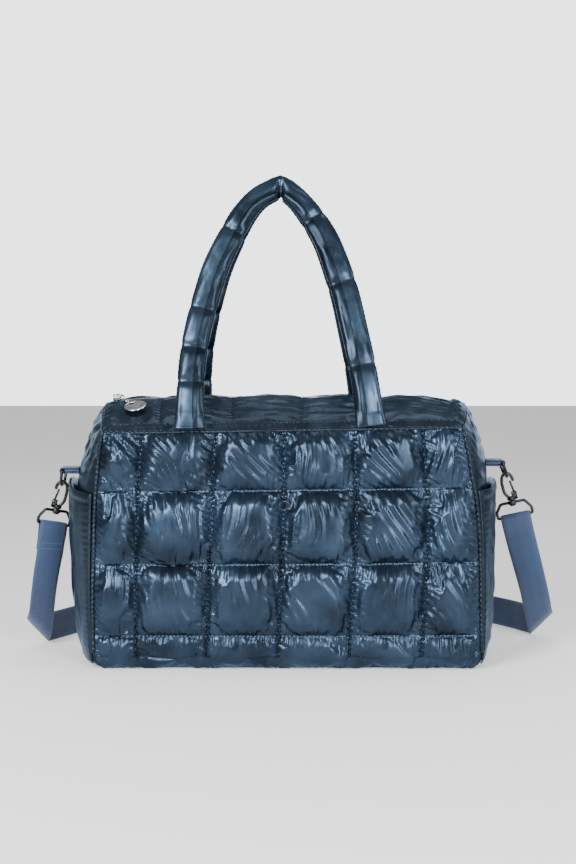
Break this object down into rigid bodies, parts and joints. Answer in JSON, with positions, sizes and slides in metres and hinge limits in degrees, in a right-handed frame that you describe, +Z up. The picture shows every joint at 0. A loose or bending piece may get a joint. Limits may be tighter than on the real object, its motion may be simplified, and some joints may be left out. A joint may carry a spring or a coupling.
{
  "type": "puffer tote bag",
  "caption": "Quilted puffer tote bag with padded carry handles, zip top, open side pockets and a clipped-on webbing shoulder strap lying behind it.",
  "frame": {"origin": "centre of the base's flat underside", "axes": "+Z up, +X to the bag's right as seen from its front, +Y away from the viewer"},
  "size_m": [0.5786, 0.2674, 0.5072],
  "materials": {
    "nylon": "glossy",
    "webbing": "woven",
    "zip_tape": "woven",
    "bright_metal": "polished",
    "dark_metal": "satin"
  },
  "bodies": {
    "bag": {"front_panel": "nylon", "back_panel": "nylon", "gusset_left": "nylon", "gusset_right": "nylon", "base_panel": "nylon", "top_panel_front": "nylon", "top_panel_rear": "nylon", "pocket_left": "nylon", "pocket_right": "nylon", "handle_front": "nylon", "handle_rear": "nylon", "zip_tape": "zip_tape", "zip_slider": "bright_metal", "pull_ring": "bright_metal", "pull_link_1": "bright_metal", "pull_link_2": "bright_metal", "pull_link_3": "bright_metal", "pull_disc": "bright_metal", "shoulder_strap": "webbing", "strap_slider": "dark_metal", "tab_left": "webbing", "tab_right": "webbing", "d_ring_left": "dark_metal", "d_ring_right": "dark_metal", "strap_loop_left": "dark_metal", "strap_loop_right": "dark_metal"},
    "hook_left": {"hook_left": "dark_metal"},
    "gate_left": {"gate_left": "dark_metal"},
    "hook_right": {"hook_right": "dark_metal"},
    "gate_right": {"gate_right": "dark_metal"}
  },
  "joints": [
    {"name": "hook_left_swivel", "type": "hinge", "parent": "bag", "child": "hook_left", "pos_m": [-0.24731, 0, 0.15439], "axis": [0.2421, 0, 0.9703], "range_deg": [-12, 12]},
    {"name": "gate_left_hinge", "type": "hinge", "parent": "hook_left", "child": "gate_left", "pos_m": [-0.25044, 0, 0.16151], "axis": [0, -1, 0], "range_deg": [-18, 0], "stiffness_Nm_per_rad": 0.002, "springref_deg": 8.59},
    {"name": "hook_right_swivel", "type": "hinge", "parent": "bag", "child": "hook_right", "pos_m": [0.23957, 0, 0.16342], "axis": [-0.2421, 0, 0.9703], "range_deg": [-12, 12]},
    {"name": "gate_right_hinge", "type": "hinge", "parent": "hook_right", "child": "gate_right", "pos_m": [0.2427, 0, 0.17054], "axis": [0, 1, 0], "range_deg": [-18, 0], "stiffness_Nm_per_rad": 0.002, "springref_deg": 8.59}
  ]
}
